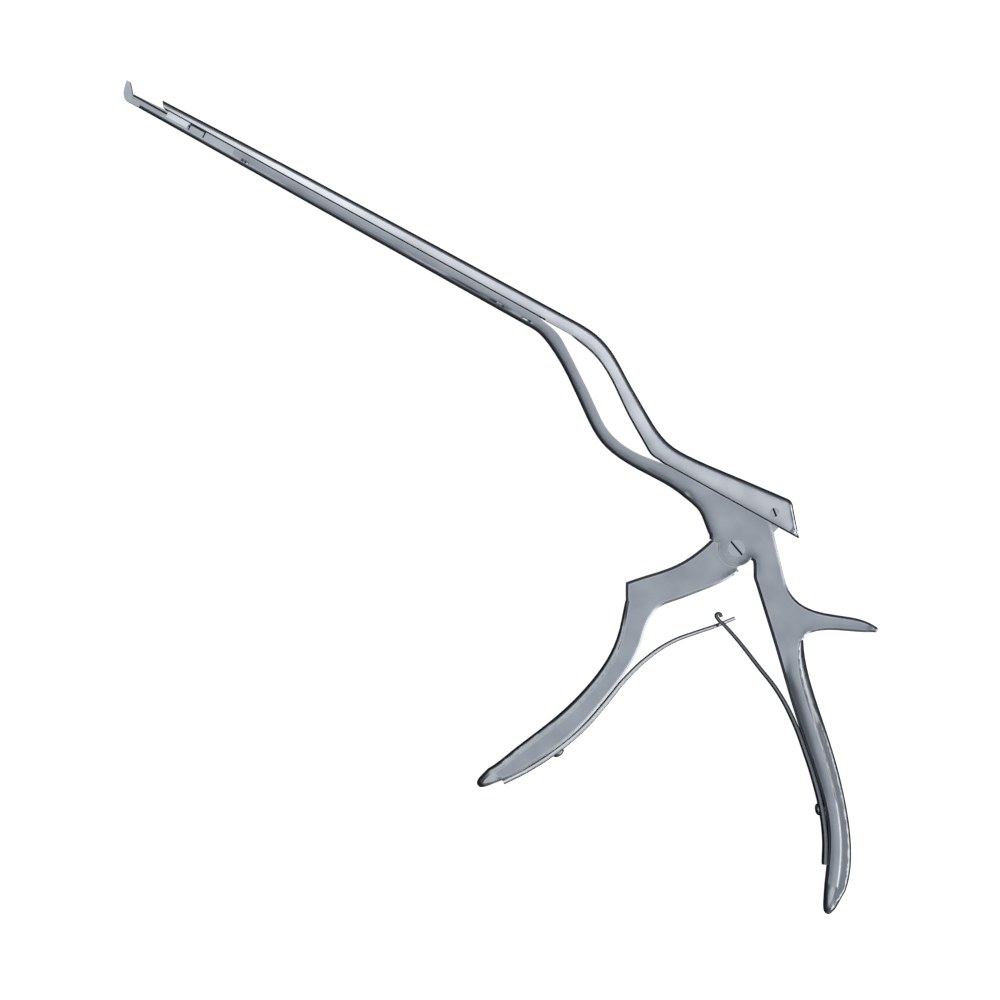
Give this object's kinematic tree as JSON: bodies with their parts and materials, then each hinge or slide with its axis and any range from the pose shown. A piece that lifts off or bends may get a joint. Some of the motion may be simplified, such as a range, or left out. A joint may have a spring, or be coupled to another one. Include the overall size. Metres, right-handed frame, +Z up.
{
  "type": "bone rongeur",
  "caption": "Hand-operated bone rongeur with a bayonet shaft: squeezing the sprung handles slides an upper cutting bar against a footplate.",
  "frame": {"origin": "where the pivot screw's axis crosses the side that the instrument rests on", "axes": "-X along the shaft towards the biting end, +Y from the base bar towards the sliding bar, +Z up from the resting side"},
  "size_m": [0.3167, 0.1407, 0.0084],
  "materials": {
    "instrument_steel": "bead-blasted satin stainless steel",
    "spring_steel": "satin hardened spring steel",
    "screw_steel": "satin turned steel"
  },
  "bodies": {
    "base": {"frame": "instrument_steel", "pivot_screw": "screw_steel", "rear_spring_screw": "screw_steel"},
    "slider": {"slide": "instrument_steel", "link_screw": "screw_steel"},
    "handle": {"front_handle": "instrument_steel", "front_spring_screw": "screw_steel"},
    "rear_spring": {"rear_leaf_spring": "spring_steel"},
    "front_spring": {"front_leaf_spring": "spring_steel"}
  },
  "joints": [
    {"name": "handle_pivot", "type": "hinge", "parent": "base", "child": "handle", "pos_m": [0, 0, 0], "axis": [0, 0, 1], "range_deg": [0, 39.9], "stiffness_Nm_per_rad": 2.5, "springref_deg": -11.46},
    {"name": "slide_travel", "type": "slide", "parent": "base", "child": "slider", "axis": [-1, 0, 0], "range_m": [0, 0.0112]},
    {"name": "rear_spring_flex", "type": "hinge", "parent": "base", "child": "rear_spring", "pos_m": [0.042, -0.0384, 0], "axis": [0, 0, -1], "range_deg": [0, 17], "deforming": ["rear_leaf_spring"]},
    {"name": "front_spring_flex", "type": "hinge", "parent": "handle", "child": "front_spring", "pos_m": [-0.0105, -0.052, 0], "axis": [0, 0, 1], "range_deg": [0, 11], "deforming": ["front_leaf_spring"]}
  ],
  "couplings": [
    {"joint": "slide_travel", "follows": "handle_pivot", "m_per_rad": 0.01608},
    {"joint": "rear_spring_flex", "follows": "handle_pivot", "ratio": 0.426},
    {"joint": "front_spring_flex", "follows": "handle_pivot", "ratio": 0.2756}
  ]
}
